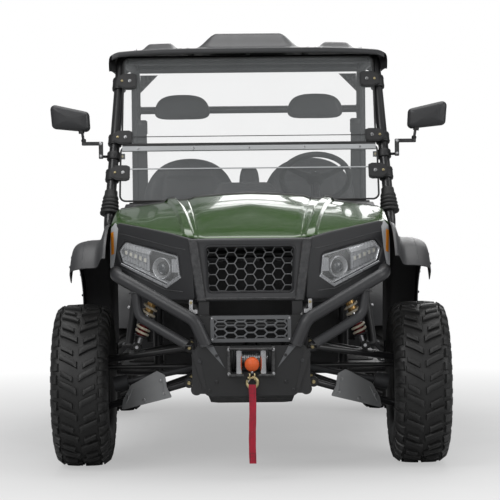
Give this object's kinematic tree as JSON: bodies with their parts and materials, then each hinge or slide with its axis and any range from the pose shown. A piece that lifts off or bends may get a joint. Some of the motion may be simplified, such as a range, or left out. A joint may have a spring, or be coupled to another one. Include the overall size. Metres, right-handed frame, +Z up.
{
  "type": "two-seat side by side utility vehicle",
  "caption": "Off-road utility vehicle with a roll cage, roof, windscreen, tipping cargo bed, front winch, steering front wheels and lifting hood.",
  "frame": {"origin": "middle of the bounding box in plan, on the ground", "axes": "+Z up, -Y to the vehicle's front, +X to its left"},
  "size_m": [1.718, 2.95, 1.8214],
  "materials": {
    "frame_paint": "satin black powder coat",
    "steel_plate": "satin charcoal powder coat on folded plate",
    "black_plastic": "grained black moulding",
    "dash_plastic": "grained dark grey moulding",
    "grip": "soft grained grip",
    "body_green": "glossy deep green with orange-peel",
    "charcoal_plastic": "satin charcoal moulding with fine grain",
    "mesh_black": "satin black mesh",
    "lamp_glass": "clear lens over bright reflectors",
    "winch_case": "textured black casting",
    "bright_steel": "polished rollers",
    "zinc_gold": "yellow zinc plating",
    "red_webbing": "woven red webbing",
    "seat_vinyl": "grained black vinyl with stitched seams",
    "clear_screen": "clear polycarbonate",
    "boot_rubber": "matte moulded rubber",
    "red_lens": "ribbed red lens",
    "engine_grey": "cast alloy grey",
    "exhaust_steel": "heat-dulled steel",
    "drive_steel": "dark cast steel with rubber boots",
    "guard_aluminium": "brushed sheet",
    "spring_cream": "cream enamel spring on a gold damper",
    "tyre_rubber": "dull black tread rubber",
    "rim_alloy": "satin black wheel"
  },
  "bodies": {
    "root": {"chassis_frame": "frame_paint", "roll_cage": "frame_paint", "bumper_tubes": "frame_paint", "front_arms": "frame_paint", "rear_arms": "frame_paint", "hitch_receiver": "frame_paint", "bumper_plate": "steel_plate", "winch_plate": "steel_plate", "floor_pan": "black_plastic", "seat_base": "black_plastic", "steering_column": "black_plastic", "windshield_clamps": "black_plastic", "mirrors": "black_plastic", "dashboard": "dash_plastic", "front_fascia": "charcoal_plastic", "roof": "charcoal_plastic", "front_fenders": "charcoal_plastic", "rear_fenders": "charcoal_plastic", "grille_mesh": "mesh_black", "headlights": "lamp_glass", "winch": "winch_case", "fairlead": "bright_steel", "winch_hook": "zinc_gold", "hook_strap": "red_webbing", "seat_cushions": "seat_vinyl", "seat_backs": "seat_vinyl", "headrests": "seat_vinyl", "windshield": "clear_screen", "pillar_boots": "boot_rubber", "tail_lights": "red_lens", "engine": "engine_grey", "muffler": "exhaust_steel", "drive_line": "drive_steel", "arm_guards": "guard_aluminium", "front_shocks": "spring_cream", "rear_shocks": "spring_cream"},
    "steering_wheel": {"steering_wheel": "grip"},
    "steering_rack": {"steering_rack": "frame_paint"},
    "hood": {"hood": "body_green"},
    "cargo_bed": {"cargo_bed": "body_green"},
    "tailgate": {"tailgate": "body_green"},
    "knuckle_left": {"knuckle_left": "frame_paint"},
    "knuckle_right": {"knuckle_right": "frame_paint"},
    "wheel_front_left": {"tyre_front_left": "tyre_rubber", "rim_front_left": "rim_alloy"},
    "wheel_front_right": {"tyre_front_right": "tyre_rubber", "rim_front_right": "rim_alloy"},
    "wheel_rear_left": {"tyre_rear_left": "tyre_rubber", "rim_rear_left": "rim_alloy"},
    "wheel_rear_right": {"tyre_rear_right": "tyre_rubber", "rim_rear_right": "rim_alloy"}
  },
  "joints": [
    {"name": "steer_left", "type": "hinge", "parent": "root", "child": "knuckle_left", "pos_m": [0.6205, -0.99, 0.3275], "axis": [0, 0, 1], "range_deg": [-28, 28]},
    {"name": "steer_right", "type": "hinge", "parent": "root", "child": "knuckle_right", "pos_m": [-0.6205, -0.99, 0.3275], "axis": [0, 0, 1], "range_deg": [-28, 28]},
    {"name": "steering_wheel_turn", "type": "hinge", "parent": "root", "child": "steering_wheel", "pos_m": [0.3, -0.12, 1.168], "axis": [0, 0.682, 0.7314], "range_deg": [-255, 255]},
    {"name": "rack_slide", "type": "slide", "parent": "root", "child": "steering_rack", "axis": [1, 0, 0], "range_m": [-0.034, 0.034]},
    {"name": "hood_lift", "type": "hinge", "parent": "root", "child": "hood", "pos_m": [0, -0.612, 1.06], "axis": [-1, 0, 0], "range_deg": [0, 45]},
    {"name": "bed_tip", "type": "hinge", "parent": "root", "child": "cargo_bed", "pos_m": [0, 1.31, 0.7], "axis": [-1, 0, 0], "range_deg": [0, 40]},
    {"name": "tailgate_drop", "type": "hinge", "parent": "cargo_bed", "child": "tailgate", "pos_m": [0, 1.465, 0.7283], "axis": [-1, 0, 0], "range_deg": [0, 90]},
    {"name": "wheel_spin_front_left", "type": "hinge", "parent": "knuckle_left", "child": "wheel_front_left", "pos_m": [0.6755, -0.99, 0.3275], "axis": [1, 0, 0], "continuous": true},
    {"name": "wheel_spin_front_right", "type": "hinge", "parent": "knuckle_right", "child": "wheel_front_right", "pos_m": [-0.6755, -0.99, 0.3275], "axis": [1, 0, 0], "continuous": true},
    {"name": "wheel_spin_rear_left", "type": "hinge", "parent": "root", "child": "wheel_rear_left", "pos_m": [0.6755, 0.93, 0.3275], "axis": [1, 0, 0], "continuous": true},
    {"name": "wheel_spin_rear_right", "type": "hinge", "parent": "root", "child": "wheel_rear_right", "pos_m": [-0.6755, 0.93, 0.3275], "axis": [1, 0, 0], "continuous": true}
  ],
  "couplings": [
    {"joint": "steer_right", "follows": "steer_left", "ratio": 1},
    {"joint": "steering_wheel_turn", "follows": "steer_left", "ratio": 9},
    {"joint": "rack_slide", "follows": "steer_left", "m_per_rad": -0.0673}
  ]
}
